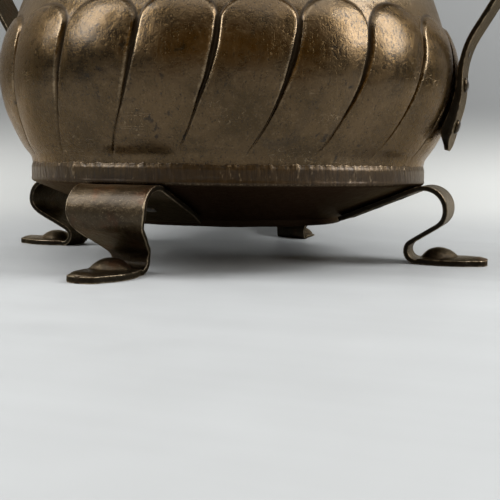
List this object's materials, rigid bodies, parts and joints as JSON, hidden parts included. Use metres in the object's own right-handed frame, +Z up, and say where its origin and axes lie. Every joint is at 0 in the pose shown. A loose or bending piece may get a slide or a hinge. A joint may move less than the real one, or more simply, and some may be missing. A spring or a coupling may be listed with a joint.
{
  "type": "lobed copper planter",
  "caption": "Round lobed copper planter with a hammered base band, rolled rim, riveted strap handles and scrolled strap feet with domed pads.",
  "frame": {"origin": "on the floor under the pot's axis, level with the undersides of the foot pads", "axes": "+Z up along the pot's axis, +X towards one handle, so that the handles stand on +X and -X"},
  "size_m": [0.3946, 0.3474, 0.2405],
  "materials": {
    "pot_copper": "dark brown patina on raised copper sheet, satin, worn brighter on the lobes",
    "pan_copper": "darker brown patina, hammered band",
    "strap_copper": "black-brown patina on forged strap, edges worn bright",
    "rivet_copper": "peened copper rivet, brown patina",
    "iron_wire": "plain iron wire, hidden in the rim"
  },
  "bodies": {
    "root": {"pot_belly": "pot_copper", "pot_neck": "pot_copper", "pan_floor": "pan_copper", "pan_side": "pan_copper", "rim_wire": "iron_wire", "foot_right": "strap_copper", "foot_back": "strap_copper", "foot_left": "strap_copper", "foot_front": "strap_copper", "handle_right": "strap_copper", "handle_left": "strap_copper", "belly_rivets": "rivet_copper", "neck_rivets": "rivet_copper", "stub_rivets": "rivet_copper", "foot_rivets": "rivet_copper"}
  },
  "joints": []
}
